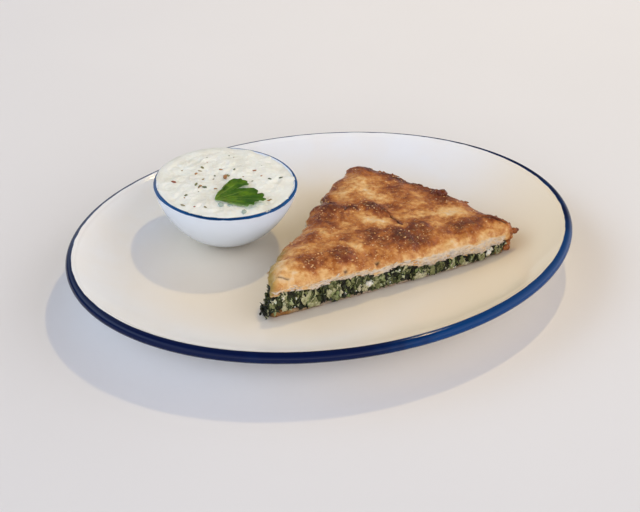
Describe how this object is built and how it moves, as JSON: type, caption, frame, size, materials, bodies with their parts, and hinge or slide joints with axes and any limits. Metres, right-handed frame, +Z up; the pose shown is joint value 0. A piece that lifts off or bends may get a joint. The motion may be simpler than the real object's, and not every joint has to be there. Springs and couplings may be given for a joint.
{
  "type": "spanakopita pie",
  "caption": "Wedge of spanakopita with a browned top crust and a spinach and feta filling, on a blue-edged oval plate with a bowl of yoghurt dip and a parsley leaf.",
  "frame": {"origin": "centre of the plate, on the surface that its foot ring stands on", "axes": "+Z up; +X along the plate's long axis, from the bowl's side towards the pie's outer crust; the pie's long cut side faces -Y"},
  "size_m": [0.3, 0.242, 0.0488],
  "materials": {
    "white_glaze": "gloss",
    "bowl_glaze": "gloss",
    "yoghurt": "satin",
    "parsley": "satin",
    "baked_dough": "satin",
    "spinach_and_feta": "satin",
    "pale_dough": "matt"
  },
  "bodies": {
    "root": {"plate": "white_glaze", "dip_bowl": "bowl_glaze", "yoghurt_dip": "yoghurt", "parsley_leaf": "parsley", "pie_base_crust": "pale_dough", "pie_filling": "spinach_and_feta", "pie_top_crust": "baked_dough"}
  },
  "joints": []
}
